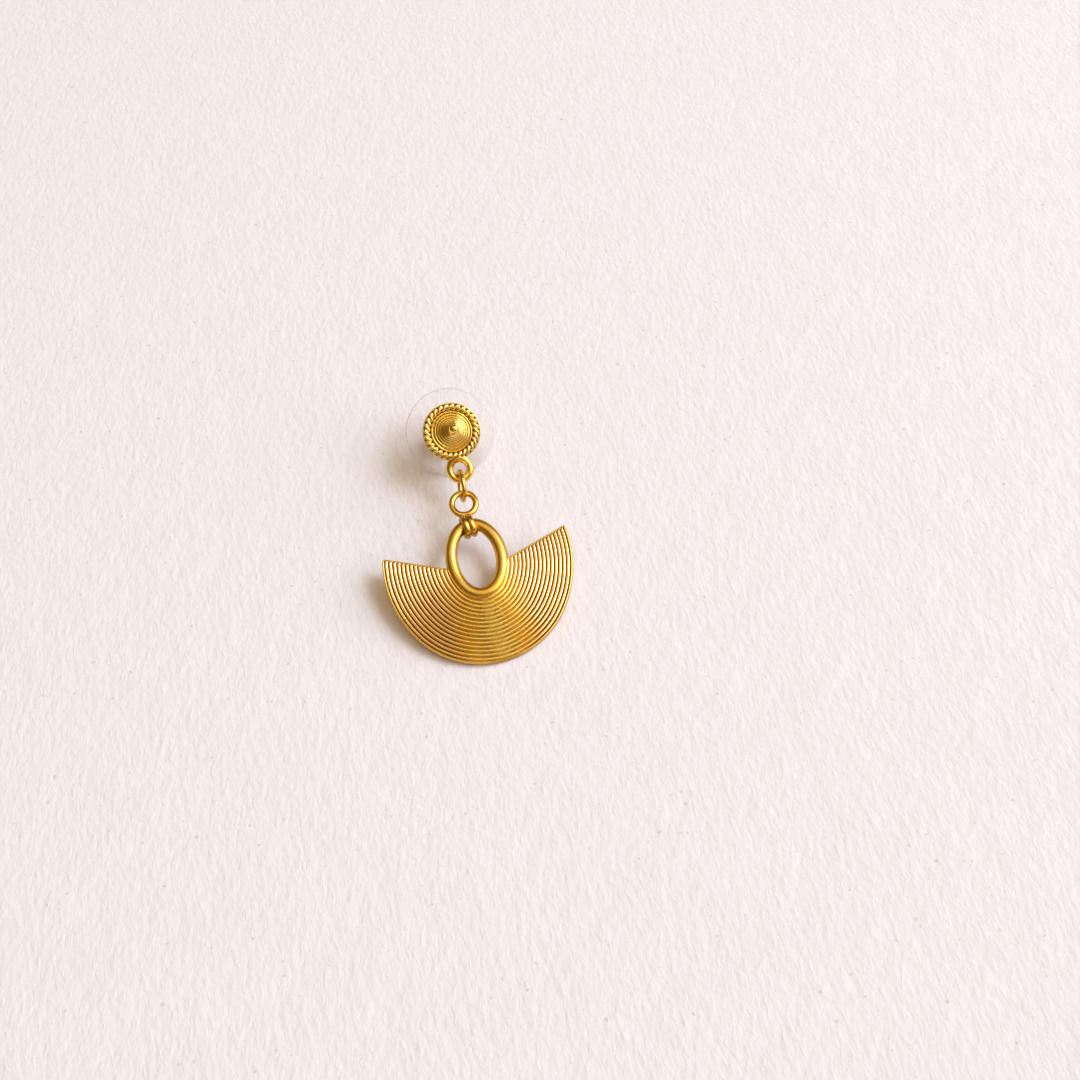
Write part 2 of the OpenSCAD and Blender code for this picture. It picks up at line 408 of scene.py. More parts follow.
def wire_tube(tree, path, out, up, sides):
    """A tube along a flat path, from its wire's half thickness outwards and upwards, thicker or
    thinner with the path's own radius."""
    level = add(tree, "GeometryNodeSetCurveNormal", {"mode": "Z_UP"}, Curve=path)
    round_wire = add(tree, "GeometryNodeCurvePrimitiveCircle", Resolution=sides, Radius=1.0)
    x, y, _ = place_of(tree)
    section = moved(tree, round_wire, x * out, y * up, 0.0)
    return add(tree, "GeometryNodeCurveToMesh", Curve=level, Profile_Curve=section,
               Scale=add(tree, "GeometryNodeInputRadius"))


RING = {
    "Half width": LOOP_R,
    "Half height": LOOP_R,
    "Wire out": LOOP_WIRE / 2,
    "Wire up": LOOP_WIRE / 2,
    "Solder": LOOP_SOLDER,
    "Steps": 96,
    "Sides": 28,
}


def ring_shape():
    """A ring or oval of round or flattened wire, swollen with solder towards its head, with painted
    shade low on the wire."""
    tree, size = new_shape("wire ring", RING)
    circle = add(tree, "GeometryNodeCurvePrimitiveCircle", Resolution=size["Steps"], Radius=1.0)
    x, y, z = place_of(tree)
    head_reach = 4.0
    swell = 1 + size["Solder"] * y.share().math("POWER", head_reach)
    circle = add(tree, "GeometryNodeSetCurveRadius", Curve=circle, Radius=swell)
    head_out = (swell - 1) * size["Wire out"]
    path = moved(tree, circle, x * size["Half width"], y * size["Half height"] + head_out, 0.0)
    tube = wire_tube(tree, path, size["Wire out"], size["Wire up"], size["Sides"])
    # Painted shade on the lower side of the wire
    dark_below = 0.4
    dark_growth = 0.4
    low = ((dark_below - z / size["Wire up"]) * dark_growth).share()
    return close_shape(tree, marked(tree, tube, "painted_shade", low), size)


ROPE = {
    "Radius": STUD_R - RIM_W - ROPE_W / 2,
    "Grains": ROPE_GRAINS,
    "Strands": 2,
    "Swing": 0.19 * MM,
    "Rise": 0.16 * MM,
    "Strand thickness": 0.205 * MM,
    "Steps": 560,
    "Sides": 14,
}


def rope_shape():
    """Strands twisted round each other along a circle, each the same strand turned by one grain,
    thickest where it swings to the side, and with a painted highlight there."""
    tree, size = new_shape("twisted rope", ROPE)
    circle = add(tree, "GeometryNodeCurvePrimitiveCircle", Resolution=size["Steps"], Radius=1.0)
    x, y, z = place_of(tree)
    index = Num(tree, add(tree, "GeometryNodeInputIndex"))
    twist = index / size["Steps"] * (2 * pi) * (size["Grains"] / size["Strands"])
    lobe = twist.cos() * twist.cos()
    thinnest = 0.9
    thickening = 0.25
    circle = add(tree, "GeometryNodeSetCurveRadius", Curve=circle, Radius=thinnest + lobe * thickening)
    circle = marked(tree, circle, "crest", lobe)
    reach = size["Radius"] + size["Swing"] * twist.cos()
    path = moved(tree, circle, x * reach, y * reach, size["Rise"] * twist.sin())
    strand = wire_tube(tree, path, size["Strand thickness"], size["Strand thickness"], size["Sides"])
    strand = rope_marks(tree, strand, z / size["Rise"])
    spots = add(tree, "GeometryNodeMeshLine", Count=size["Strands"], Offset=(0.0, 0.0, 0.0))
    turn = add(tree, "ShaderNodeCombineXYZ", Z=index / size["Grains"] * (2 * pi))
    strands = add(tree, "GeometryNodeInstanceOnPoints", Points=spots, Instance=strand, Rotation=turn)
    return close_shape(tree, strands, size)


def rope_marks(tree, strand, height):
    """The strand with painted shade below and between its grains, and painted highlights on its tops."""
    on_lobe = shape_mark(tree, "crest")
    dark_below = 1.08
    dark_between = 0.25
    bright_above = 0.7
    bright_growth = 1.6
    brightest = 0.5
    # Painted shade below and between the grains, painted highlight on the tops of the lobes
    gap = ((dark_below - height) + (1 - on_lobe) * dark_between).share()
    strand = marked(tree, strand, "painted_shade", gap)
    top = ((height - bright_above) * bright_growth).share()
    return marked(tree, strand, "crest", top * on_lobe * brightest)


def fan_rows(size, row, groove_rows, face_rows):
    """Each row's distance out from the foot arc's middle, and how far the rim has rounded off."""
    per_ridge = size["Rows per ridge"]
    past_rim = ((row - 1 - face_rows) / size["Edge rows"]).share() * (pi / 2)
    on_face = (row - 1).most(0.0).least(face_rows) - size["Inner rows"]
    out = size["First groove"] + on_face.least(groove_rows) * (size["Pitch"] / per_ridge)
    out = out + (on_face - groove_rows).most(0.0) / per_ridge * 2 * size["Lip"]
    return out + size["Rim round"] * past_rim.sin(), past_rim


def fan_arcs(size, out):
    """How far apart the middles of the foot arc and a side arc are, the angle between them, the
    length of a row's foot arc and its whole length from the foot to an upper edge."""
    gap = (size["Side middle"] * size["Side middle"] + size["Foot middle"] * size["Foot middle"]).root()
    turn = (size["Foot middle"] / gap).math("ARCSINE")
    side_r = out + gap
    slope = size["Edge slope"]
    below = (size["Side middle"] + size["Root across"]) * slope.sin() + size["Root below"] * slope.cos()
    end = slope - (below / side_r).math("ARCSINE")
    foot_length = out * (pi / 2 - turn)
    return gap, turn, foot_length, foot_length + side_r * (turn + end)


def fan_travel(size, column, length):
    """Each column's travel from the middle of the foot towards an upper edge, how far it is into
    the border, and how far the edge has rounded off."""
    across = size["Half columns"]
    border_columns = size["Border columns"]
    in_border = ((column - across) / border_columns).share()
    past_edge = ((column - across - border_columns) / size["Edge columns"]).share() * (pi / 2)
    travel = (length - size["Border"] - size["Edge round"]) * (column / across).least(1.0)
    travel = travel + size["Border"] * in_border + size["Edge round"] * past_edge.sin()
    return travel, in_border, past_edge


def fan_tip(size, out, travel, length):
    """The distance out and the travel, bent so that the tips' square corners become round."""
    tip = size["Tip round"]
    rim = size["First groove"] + size["Ridges"] * size["Pitch"] + size["Lip"] + size["Rim round"]
    near_rim = (1 - (rim - out) / tip).share()
    near_edge = (1 - (length - travel) / tip).share()
    bent_out = out - tip * near_rim * (1 - (1 - near_edge * near_edge * 0.5).root())
    bent_travel = travel - tip * near_edge * (1 - (1 - near_rim * near_rim * 0.5).root())
    return bent_out, bent_travel


def fan_spot(size, side, arcs, out, bent_out, bent_travel):
    """Where a point lies in the fan's plane: along the foot arc first, and then along the side
    arc, on the left or right side."""
    gap, turn, foot_length = arcs[:3]
    foot_turn = bent_travel.least(foot_length) / out
    side_turn = (bent_travel - foot_length).most(0.0) / (out + gap)
    bent_side = bent_out + gap
    flat_x = (bent_out * foot_turn.sin()
              + bent_side * ((side_turn - turn).cos() - turn.cos())) * side
    flat_y = (-size["Foot middle"] - bent_out * foot_turn.cos()
              + bent_side * ((side_turn - turn).sin() + turn.sin()))
    return flat_x, flat_y


def fan_worn(tree, size, flat_x, flat_y, out):
    """A ragged worn band down the middle, and the wider part round it."""
    below_root = out - size["First groove"]
    spot = add(tree, "ShaderNodeCombineXYZ", X=flat_x, Y=flat_y)
    ragged = Num(tree, add(tree, "ShaderNodeTexNoise", Vector=spot, Scale=1 / size["Ragged"], Detail=2.0))
    half = size["Worn half"] + below_root * size["Worn spread"]
    aside = (flat_x - below_root * size["Worn lean"]) / half + (ragged - 0.5) * size["Ragged share"]
    worn = (1 - aside * aside).share().math("POWER", size["Worn fade"])
    return worn, (1 - aside * aside * size["Worn reach"]).share()


def fan_ridges(size, row, in_border):
    """Which ridge each row is on, how high it swells, and the ridges with the plain border along
    the upper edges."""
    phase = ((row - 1 - size["Inner rows"]) / size["Rows per ridge"]).least(size["Ridges"] + 0.5)
    swell = (phase * pi).sin().size()
    narrow = ((swell - size["Groove share"]) / (1 - size["Groove share"])).most(0.0)
    border = (in_border * size["Border sharpness"] - size["Border start"]).share()
    ridge = narrow.math("POWER", size["Ridge fullness"]) * (1 - border) + border * size["Border height"]
    return phase, swell, border, ridge


def fan_heights(size, ridge, wing, worn, thick):
    """The height of the face, whose ridges are lower at the foot and where it is worn, and of the
    flat back, drawn together at the edge."""
    foot_relief = size["Foot relief"]
    relief = size["Relief"] * (foot_relief + wing * (1 - foot_relief)) * (1 - worn * size["Worn share"])
    lift = (size["Relief"] - relief) * size["Worn lift"]
    middle = size["Plate"] * 0.5
    face_z = middle + (middle + lift + relief * ridge) * thick
    return face_z, middle - middle * thick.root()


def fan_marks(size, swell, phase, wing, border, near_worn):
    """How much painted shade each point of the face gets in the grooves, and how much painted highlight
    on the crests of the wings.
    """
    groove_top = 0.6
    wing_groove = 0.12
    groove_sharpness = 2.2
    border_light = 0.6
    worn_light = 0.3
    painted_shade = ((groove_top + wing * wing_groove - swell) * groove_sharpness).share()
    painted_shade = painted_shade * (1 - border * border_light) * (1 - near_worn * worn_light)
    crest_sharpness = 5
    crest_start = 0.75
    # The painted highlight is kept to the crests of the wings
    on_ridge = ((size["Ridges"] - phase) * crest_sharpness).share()
    crest = ((swell - crest_start) * crest_sharpness).share()
    return painted_shade, crest * (1 - border) * (1 - near_worn) * on_ridge * wing


def joined_sheets(tree, face, back):
    """Face and back as one closed body. Their squares are cut opposite ways, so that no cut at a
    corner is in both."""
    weld = 0.0005 * MM
    face = add(tree, "GeometryNodeTriangulate", {"quad_method": "FIXED"}, Mesh=face)
    back = add(tree, "GeometryNodeTriangulate", {"quad_method": "FIXED_ALTERNATE"}, Mesh=back)
    join = tree.nodes.new("GeometryNodeJoinGeometry")
    tree.links.new(back, join.inputs[0])
    tree.links.new(face, join.inputs[0])
    return add(tree, "GeometryNodeMergeByDistance", Geometry=join.outputs[0], Distance=weld)


def fan_shape():
    """The ridged fan: a sheet of rows and columns laid along one foot arc and two side arcs,
    with its face raised in ridges, its back flat, and both joined round the rounded edge."""
    tree, size = new_shape("ridged fan", FAN)
    groove_rows = size["Ridges"] * size["Rows per ridge"]
    face_rows = size["Inner rows"] + groove_rows + size["Rows per ridge"] * 0.5
    all_rows = face_rows + size["Edge rows"] + 1
    all_columns = (size["Half columns"] + size["Border columns"] + size["Edge columns"]) * 2
    sheet = add(tree, "GeometryNodeMeshGrid", Size_X=all_columns, Size_Y=all_rows,
                Vertices_X=all_columns + 1, Vertices_Y=all_rows + 1)
    x, y, _ = place_of(tree)
    row = y + all_rows * 0.5

    # Where each point lies, how worn it is and how far out on a wing
    out, past_rim = fan_rows(size, row, groove_rows, face_rows)
    arcs = fan_arcs(size, out)
    length = arcs[-1]
    travel, in_border, past_edge = fan_travel(size, x.size(), length)
    bent_out, bent_travel = fan_tip(size, out, travel, length)
    flat_x, flat_y = fan_spot(size, x.math("SIGN"), arcs, out, bent_out, bent_travel)
    worn, near_worn = fan_worn(tree, size, flat_x, flat_y, out)
    wing = ((flat_x.size() - size["Foot half"]) / size["Foot half"]).share()

    # How high it is, and its painted shade and painted highlights
    phase, swell, border, ridge = fan_ridges(size, row, in_border)
    thick = past_rim.cos() * past_edge.cos() * row.least(1.0)
    face_z, back_z = fan_heights(size, ridge, wing, worn, thick)
    painted_shade, crest = fan_marks(size, swell, phase, wing, border, near_worn)
    # Painted shade on the rounded rim and on the back
    side_shade = 0.85
    side = past_rim.sin() * side_shade
    face = marked(tree, sheet, "painted_shade", painted_shade.most(side))
    face = marked(tree, marked(tree, face, "worn", worn), "crest", crest)
    face = moved(tree, face, flat_x, flat_y, face_z)
    back = moved(tree, marked(tree, sheet, "painted_shade", side), flat_x, flat_y, back_z)
    return close_shape(tree, joined_sheets(tree, face, back), size)


def grown(tree, sizes, material, place):
    """The plain mesh that a geometry tree gives with these sizes, in its place."""
    seed = bpy.data.objects.new("seed", bpy.data.meshes.new("seed"))
    bpy.context.scene.collection.objects.link(seed)
    modifier = seed.modifiers.new("shape", "NODES")
    modifier.node_group = tree
    for item in tree.interface.items_tree:
        if item.name in sizes:
            modifier[item.identifier] = sizes[item.name]
        elif item.name == "Material":
            modifier[item.identifier] = material
    depsgraph = bpy.context.evaluated_depsgraph_get()
    mesh = bpy.data.meshes.new_from_object(
        seed.evaluated_get(depsgraph), preserve_all_data_layers=True, depsgraph=depsgraph)
    bpy.data.objects.remove(seed)
    mesh.transform(place)
    return mesh


def turned(outline, sides, material, place):
    """A body turned from an outline of (radius, height, painted shade) points, from axis to axis,
    or all the way round a ring."""
    points = []
    faces = []
    painted_shades = []
    rows = []
    for radius, height, painted_shade in outline:
        count = sides if radius > 0 else 1
        rows.append(range(len(points), len(points) + count))
        for k in range(count):
            angle = 2 * pi * k / sides
            points.append((radius * cos(angle), radius * sin(angle), height))
            painted_shades.append(painted_shade)
    hollow = outline[0][0] > 0
    for here, there in zip(rows, rows[1:] + rows[:1] if hollow else rows[1:]):
        for k in range(sides):
            corners = [here[k % len(here)], here[(k + 1) % len(here)],
                       there[(k + 1) % len(there)], there[k % len(there)]]
            faces.append(list(dict.fromkeys(corners)))
    mesh = bpy.data.meshes.new("turned")
    mesh.from_pydata(points, [], faces)
    depth = mesh.attributes.new("painted_shade", "FLOAT", "POINT")
    depth.data.foreach_set("value", painted_shades)
    mesh.materials.append(material)
    mesh.transform(place)
    return mesh


def piece(name, mesh, body, node, sharp=SHARP_ANGLE):
    """Makes a finished piece of the object that stands for a CAD node."""
    work = bmesh.new()
    work.from_mesh(mesh)
    bmesh.ops.recalc_face_normals(work, faces=work.faces)
    work.to_mesh(mesh)
    work.free()
    mesh.shade_smooth()
    mesh.set_sharp_from_angle(angle=radians(sharp))
    mesh.name = name
    obj = bpy.data.objects.new(name, mesh)
    bpy.context.scene.collection.objects.link(obj)
    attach(obj, body)
    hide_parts(node)
    return obj


def arc_points(middle, radius, start, stop, count, painted_shade=0.0):
    """Points of an arc in an outline, with angles in degrees from straight out, each with the same
    painted shade mark.
    """
    steps = [radians(start + (stop - start) * k / count) for k in range(count + 1)]
    return [(middle[0] + radius * cos(a), middle[1] + radius * sin(a), painted_shade) for a in steps]


def cone_outline():
    """The ringed, hollow-sided cone and its ball, up from the head's front: rings that narrow
    and fade towards the ball."""
    per_ring = 12
    fullness = 0.7
    sunk = 0.7
    groove_sharpness = 1.5
    outline = [(0, CONE_FOOT, 0.0), (CONE_R, CONE_FOOT, 1.0)]
    radius = CONE_R
    width = RING_FIRST
    while radius - width > NECK_R:
        for k in range(per_ring):
            place = radius - width * k / per_ring
            share = (CONE_R - place) / (CONE_R - NECK_R)
            swell = sin(pi * k / per_ring) ** fullness
            fade = 1 - RING_FADE * share
            height = CONE_RISE * share ** CONE_HOLLOW + RING_RELIEF * width * fade * (swell - sunk)
            # Painted shade in the rings' grooves, fading towards the ball
            outline.append((place, height, (1 - swell) ** groove_sharpness * fade))
        radius -= width
        width *= RING_NARROWING
    ball = arc_points((0, BALL_RISE), BALL_R, -33, 90, 20)
    return outline + ball[:-1] + [(0, BALL_RISE + BALL_R, 0.0)]


def head_outline():
    """The stud's head: flat back, thin rim and the bed of the rope and cone."""
    back_round = 0.12 * MM
    rim_round = 0.05 * MM
    rim_flat = 0.11 * MM
    bed = STUD_FRONT - BED_DEEP
    outline = [(0, STUD_BACK, 0.0)]
    outline += arc_points((STUD_R - back_round, STUD_BACK + back_round), back_round, -90, 0, 5)
    outline += arc_points((STUD_R - rim_round, STUD_FRONT - rim_round), rim_round, 0, 90, 5)
    # The bed under the rope and cone gets full painted shade
    return outline + [(STUD_R - rim_flat, STUD_FRONT, 0.0), (STUD_R - RIM_W, bed, 1.0), (0, bed, 1.0)]


def post_outline():
    """The ear post, with a rounded end and a fine groove for the clutch."""
    end_round = 0.2 * MM
    groove_z = POST_END + 1.3 * MM
    groove_half = 0.25 * MM
    groove_deep = 0.05 * MM
    groove_steps = 8
    top = STUD_BACK + POST_SUNK
    outline = [(0, POST_END, 0.0)]
    outline += arc_points((POST_R - end_round, POST_END + end_round), end_round, -90, 0, 6)
    for k in range(groove_steps + 1):
        share = k / groove_steps
        outline.append((POST_R - groove_deep * sin(pi * share) ** 2,
                        groove_z + groove_half * (2 * share - 1), 0.0))
    return outline + [(POST_R, top, 0.0), (0, top, 0.0)]


def disc_outline():
    """The clear disc: a dished plate with a round edge and a stepped hub."""
    hub_front = -CLUTCH_PLAY
    hub_back = hub_front - HUB_THICK
    step = 0.3 * MM
    small = 0.05 * MM
    bore = WAIST_R + CLUTCH_PLAY
    face = DISC_EDGE_R - DISC_DISH
    back = -DISC_DISH - DISC_EDGE_R
    shelf = hub_front - CLUTCH_LIP
    outline = [(bore, hub_back, 0.0)]
    outline += arc_points((HUB_R - small, hub_back + small), small, -90, 0, 3)
    outline += [(HUB_R + step, back, 0.0)]
    # The rim is marked, so the plastic draws it darker and more solid: painted shade
    outline += arc_points((DISC_R - DISC_EDGE_R, 0), DISC_EDGE_R, -90, 90, 16, 1.0)
    outline += [(HUB_R + step, face, 0.0), (HUB_R, face, 0.0)]
    outline += arc_points((HUB_R - small, shelf - small), small, 0, 90, 3)
    outline += [(HUB_R - step, shelf, 0.0)]
    outline += arc_points((HUB_R - step - small, hub_front - small), small, 0, 90, 3)
    return outline + [(bore, hub_front, 0.0)]


def barrel_outline():
    """The gold barrel: a coned flange in front, a waist inside the disc, a round back."""
    lip = CLUTCH_LIP
    bore = POST_R + CLUTCH_PLAY
    mouth = 0.08 * MM
    flange_z = 0.3 * MM
    bevel = 0.1 * MM
    shoulder = -HUB_THICK - 3 * CLUTCH_PLAY
    small = 0.05 * MM
    back_arc = (BARREL_R - BARREL_ROUND, BARREL_ROUND - BARREL_BACK)
    # The bore's mouth and the waist get some painted shade
    outline = [(bore, BARREL_FRONT - mouth, 0.5), (bore + mouth, BARREL_FRONT, 0.0)]
    outline += [(FLANGE_R - 2 * lip, flange_z, 0.0)]
    outline += arc_points((FLANGE_R - lip, flange_z - lip), lip, 80, 0, 6)
    outline += [(FLANGE_R, bevel, 0.0), (FLANGE_R - bevel, 0, 0.0), (WAIST_R, 0, 0.3)]
    outline += [(WAIST_R, shoulder, 0.3), (BARREL_R - small, shoulder, 0.0)]
    outline += [(BARREL_R, shoulder - small, 0.0)]
    outline += arc_points(back_arc, BARREL_ROUND, 0, -90, 8)
    return outline + [(bore + mouth, -BARREL_BACK, 0.0), (bore, mouth - BARREL_BACK, 0.5)]


def new_finish(name):
    """A material with its tree, its shader and its Object coordinates."""
    material = bpy.data.materials.new(name)
    material.use_nodes = True
    tree = material.node_tree
    tree.nodes.clear()
    shader = tree.nodes.new("ShaderNodeBsdfPrincipled")
    result = tree.nodes.new("ShaderNodeOutputMaterial")
    tree.links.new(shader.outputs["BSDF"], result.inputs["Surface"])
    spot = tree.nodes.new("ShaderNodeTexCoord").outputs["Object"]
    return material, tree, shader, spot


def noise(tree, spot, grain, detail=2.0):
    """Noise whose patches are about as wide as grain, in metres."""
    return Num(tree, add(tree, "ShaderNodeTexNoise", Vector=spot, Scale=1 / grain, Detail=detail))


def mixed(tree, share, low, high):
    """A colour between two others."""
    node = tree.nodes.new("ShaderNodeMix")
    node.data_type = "RGBA"
    plug(tree, share, node.inputs["Factor"])
    plug(tree, low, node.inputs["A"])
    plug(tree, high, node.inputs["B"])
    return node.outputs["Result"]


def rgb(red, green, blue):
    """A full colour for a socket."""
    return (red, green, blue, 1.0)


def finish_mark(tree, name):
    """The mark that a shape stored under this name, as a number for its finish."""
    mark = tree.nodes.new("ShaderNodeAttribute")
    mark.attribute_name = name
    return Num(tree, mark.outputs["Fac"])


def fine_relief(tree, shader, height, strength, depth):
    """Fine relief on a finish, from a height and how deep a height of 1 is, in metres."""
    bump = tree.nodes.new("ShaderNodeBump")
    bump.inputs["Strength"].default_value = strength
    bump.inputs["Distance"].default_value = depth
    plug(tree, height, bump.inputs["Height"])
    tree.links.new(bump.outputs[0], shader.inputs["Normal"])


def gold(name, bright, warm, shade_tone, rough, grain_depth):
    """Satin yellow gold: cloudy warmth, a fine cast grain, painted shade in grooves and hollows,
    painted highlights on crests and a dull, sandy worn band."""
    material, tree, shader, spot = new_finish(name)
    cloud = noise(tree, spot, CLOUD_W, 3.0)
    grain = noise(tree, spot, GRAIN_W, 3.0)
    patch = noise(tree, spot, PATCH_W, 2.0)
    coarse = noise(tree, spot, COARSE_W, 2.0)
    depth = (finish_mark(tree, "painted_shade") * (0.7 + patch * 0.6)).share()
    sand = finish_mark(tree, "worn")
    crest = finish_mark(tree, "crest")

    # Colour: each mark mixes in its own tone: painted shade, painted highlight and the worn band
    cloud_start = 0.35
    cloud_sharpness = 3.0
    metal = mixed(tree, ((cloud - cloud_start) * cloud_sharpness).share(), rgb(*bright), rgb(*warm))
    # Painted shade in grooves, hollows and low on the wires
    metal = mixed(tree, depth, metal, rgb(*shade_tone))
    # Painted highlight on crests
    metal = mixed(tree, crest * 0.9, metal, rgb(*PAINTED_HIGHLIGHT))
    metal = mixed(tree, sand * (0.4 + patch * 0.7), metal, rgb(*WORN_GOLD))
    plug(tree, metal, shader.inputs["Base Color"])
    shader.inputs["Metallic"].default_value = 1.0

    # Roughness and relief: rougher in grooves and where worn, smoother on crests
    roughness = rough + (grain - 0.5) * 0.2 + depth * 0.12 + sand * 0.18 - crest * 0.05
    plug(tree, roughness, shader.inputs["Roughness"])
    height = grain * (1 + sand * 5) + patch * 0.6 + coarse * sand * 6
    fine_relief(tree, shader, height, 0.6, grain_depth)
    return material


def clear_plastic():
    """Clear plastic that shows by its gloss, a faint haze and its edges, which get painted shade."""
    material, tree, shader, spot = new_finish("clear plastic")
    haze = noise(tree, spot, HAZE_W, 3.0)
    weight = tree.nodes.new("ShaderNodeLayerWeight")
    weight.inputs["Blend"].default_value = 0.5
    facing = Num(tree, weight.outputs["Facing"])
    # The edges turn darker and more solid, and the marked rim more solid still: painted shade standing in
    # for light bent at the clear edge
    edge_sharpness = 2.8
    edge = facing.math("POWER", edge_sharpness)
    rim = finish_mark(tree, "painted_shade")
    tone = mixed(tree, edge.share(), rgb(*PLASTIC_FACE), rgb(*PLASTIC_EDGE_SHADE))
    plug(tree, tone, shader.inputs["Base Color"])
    plug(tree, 0.08 + haze * 0.06, shader.inputs["Roughness"])
    shader.inputs["IOR"].default_value = PLASTIC_BENDING
    solid = 0.02 + edge + haze * 0.02 + rim * (0.05 + facing * 0.5)
    plug(tree, solid.share(), shader.inputs["Alpha"])
    return material


def floor_finish():
    """Pale paper with soft blots, a lay of long fibres, small nicks and a few brown specks."""
    material, tree, shader, spot = new_finish("pale paper")
    lay = tree.nodes.new("ShaderNodeMapping")
    lay.inputs["Scale"].default_value = (1.0, 1 / FIBRE_STRETCH, 1.0)
    lay.inputs["Rotation"].default_value = (0.0, 0.0, radians(FIBRE_TURN))
    tree.links.new(spot, lay.inputs["Vector"])
    blot = noise(tree, spot, BLOT_W, 3.0)
    fibre = noise(tree, lay.outputs[0], FIBRE_W, 4.0) + noise(tree, spot, SWELL_W, 2.0) * 1.3
    nick = ramp(noise(tree, lay.outputs[0], NICK_W, 1.0), 0.62, 0.68)
    speck = ramp(noise(tree, spot, SPECK_W, 0.0), 0.80, 0.84)
    blot_start = 0.3
    blot_sharpness = 2.0
    blots = ((blot - blot_start) * blot_sharpness).share()
    paper = mixed(tree, blots, rgb(*PAPER_LOW), rgb(*PAPER_HIGH))
    paper = mixed(tree, speck * 0.35, paper, rgb(*PAPER_SPECK))
    plug(tree, paper, shader.inputs["Base Color"])
    shader.inputs["Roughness"].default_value = 0.95
    shader.inputs["Specular IOR Level"].default_value = 0.1
    fine_relief(tree, shader, fibre + nick * 0.13, 0.55, PAPER_RELIEF)
    return material


def build_stud(ring, material):
    """Head, ringed cone, rope border, soldered loop and ear post."""
    head = turned(head_outline(), STUD_SIDES, material, ON_STUD)
    piece("stud_head", head, "earring", "stud")
    front = ON_STUD @ Matrix.Translation((0, 0, STUD_FRONT))
    lean = Matrix.Identity(4)
    lean[0][2], lean[1][2] = CONE_LEAN
    cone = turned(cone_outline(), STUD_SIDES, material, front @ lean)
    piece("stud_cone", cone, "earring", "stud")
    rope_place = front @ Matrix.Translation((0, 0, ROPE_UP))
    rope = grown(rope_shape(), ROPE, material, rope_place)
    piece("stud_rope", rope, "earring", "stud")
    loop = grown(ring, RING, material, ON_STUD @ Matrix.Translation((LOOP_SIDE, LOOP_Y, LOOP_Z)))
    piece("stud_loop", loop, "earring", "stud")
    post = turned(post_outline(), POST_SIDES, material, ON_STUD)
    piece("ear_post", post, "earring", "stud")


def build_clutch(plastic, metal):
    """Clear disc and gold barrel."""
    disc = turned(disc_outline(), DISC_SIDES, plastic, ON_STUD)
    piece("clear_disc", disc, "clutch", "clutch_disc")
    barrel = turned(barrel_outline(), BARREL_SIDES, metal, ON_STUD)
    piece("barrel", barrel, "clutch", "clutch_barrel")


def ring_sizes(half_width, half_height, out, up, steps, sides):
    """The sizes of a ring or oval without solder, in the order of the wire ring's inputs."""
    return dict(zip(RING, (half_width, half_height, out, up, 0.0, steps, sides)))


def build_links(ring, material):
    """Jump ring, top ring and the two bands of the bail."""
    wire = JUMP_WIRE / 2 - JUMP_THINNER
    reach = JUMP_R - JUMP_THINNER - JUMP_TIGHTER
    upright = Matrix.Rotation(pi / 2, 4, "Y")
    turn = Matrix.Rotation(radians(JUMP_TURN), 4, "Y") @ upright
    sizes = ring_sizes(reach, reach, wire, wire, steps=120, sides=24)
    jump = grown(ring, sizes, material, in_plane(*JUMP_MIDDLE, 0) @ turn)
    piece("jump_link", jump, "earring", "jump_ring")

    wire = TOP_RING_WIRE / 2
    aside = Matrix.Translation((LINK_SIDE, 0, 0))
    sizes = ring_sizes(TOP_RING_R, TOP_RING_R, wire, wire, steps=120, sides=28)
    top = grown(ring, sizes, material, aside @ in_plane(*TOP_RING_MIDDLE, TOP_RING_SLOPE))
    piece("top_link", top, "earring", "bail_ring")

    sizes = ring_sizes(BAIL_R, BAIL_R, BAND_THICK / 2, BAND_W / 2, steps=96, sides=28)
    bail_plane = in_plane(BAIL_MIDDLE[0] - BAIL_DOWN, BAIL_MIDDLE[1], TOP_RING_SLOPE)
    bail = aside @ bail_plane @ Matrix.Rotation(radians(BAIL_TURN), 4, "Z")
    for name, side in (("bail_band_left", -1), ("bail_band_right", 1)):
        slant = Matrix.Rotation(radians(-side * BAND_SLANT), 4, "Y")
        turn = Matrix.Translation((side * BAND_W * 0.5, 0, 0)) @ slant @ upright
        band = grown(ring, sizes, material, bail @ turn)
        piece(name, band, "earring", "bail_ring")


def build_drop(ring, shaded_oval_gold, fan_gold):
    """Oval and ridged fan."""
    place = in_plane(*FAN_MIDDLE, FAN_LEAN)
    aside = Matrix.Translation((FAN_SIDE, 0, 0))
    wire = OVAL_WIRE / 2
    sizes = ring_sizes(HOLE_W / 2 + wire, HOLE_H / 2 + wire, wire, wire, steps=200, sides=40)
    oval = grown(ring, sizes, shaded_oval_gold, place @ Matrix.Translation((0, OVAL_UP, OVAL_LIFT)))
    piece("oval_wire", oval, "earring", "fan_drop")
    fan = grown(fan_shape(), FAN, fan_gold, place @ aside)
    piece("ridged_fan", fan, "earring", "fan_drop", sharp=FAN_SHARP_ANGLE)


def build_floor():
    """A wide floor of pale paper."""
    half = FLOOR_HALF
    corners = [(-half, -half, 0), (half, -half, 0), (half, half, 0), (-half, half, 0)]
    mesh = bpy.data.meshes.new("floor")
    mesh.from_pydata(corners, [], [(0, 1, 2, 3)])
    mesh.materials.append(floor_finish())
    floor = bpy.data.objects.new("floor", mesh)
    bpy.context.scene.collection.objects.link(floor)


def camera_axes():
    """Unit vectors from what the camera looks at: back to the camera, to its right, and up."""
    around = radians(CAMERA_AZIMUTH)
    height = radians(CAMERA_HEIGHT)
    back = Vector((sin(around) * cos(height), -cos(around) * cos(height), sin(height)))
    right = Vector((cos(around), sin(around), 0))
    return back, right, back.cross(right)


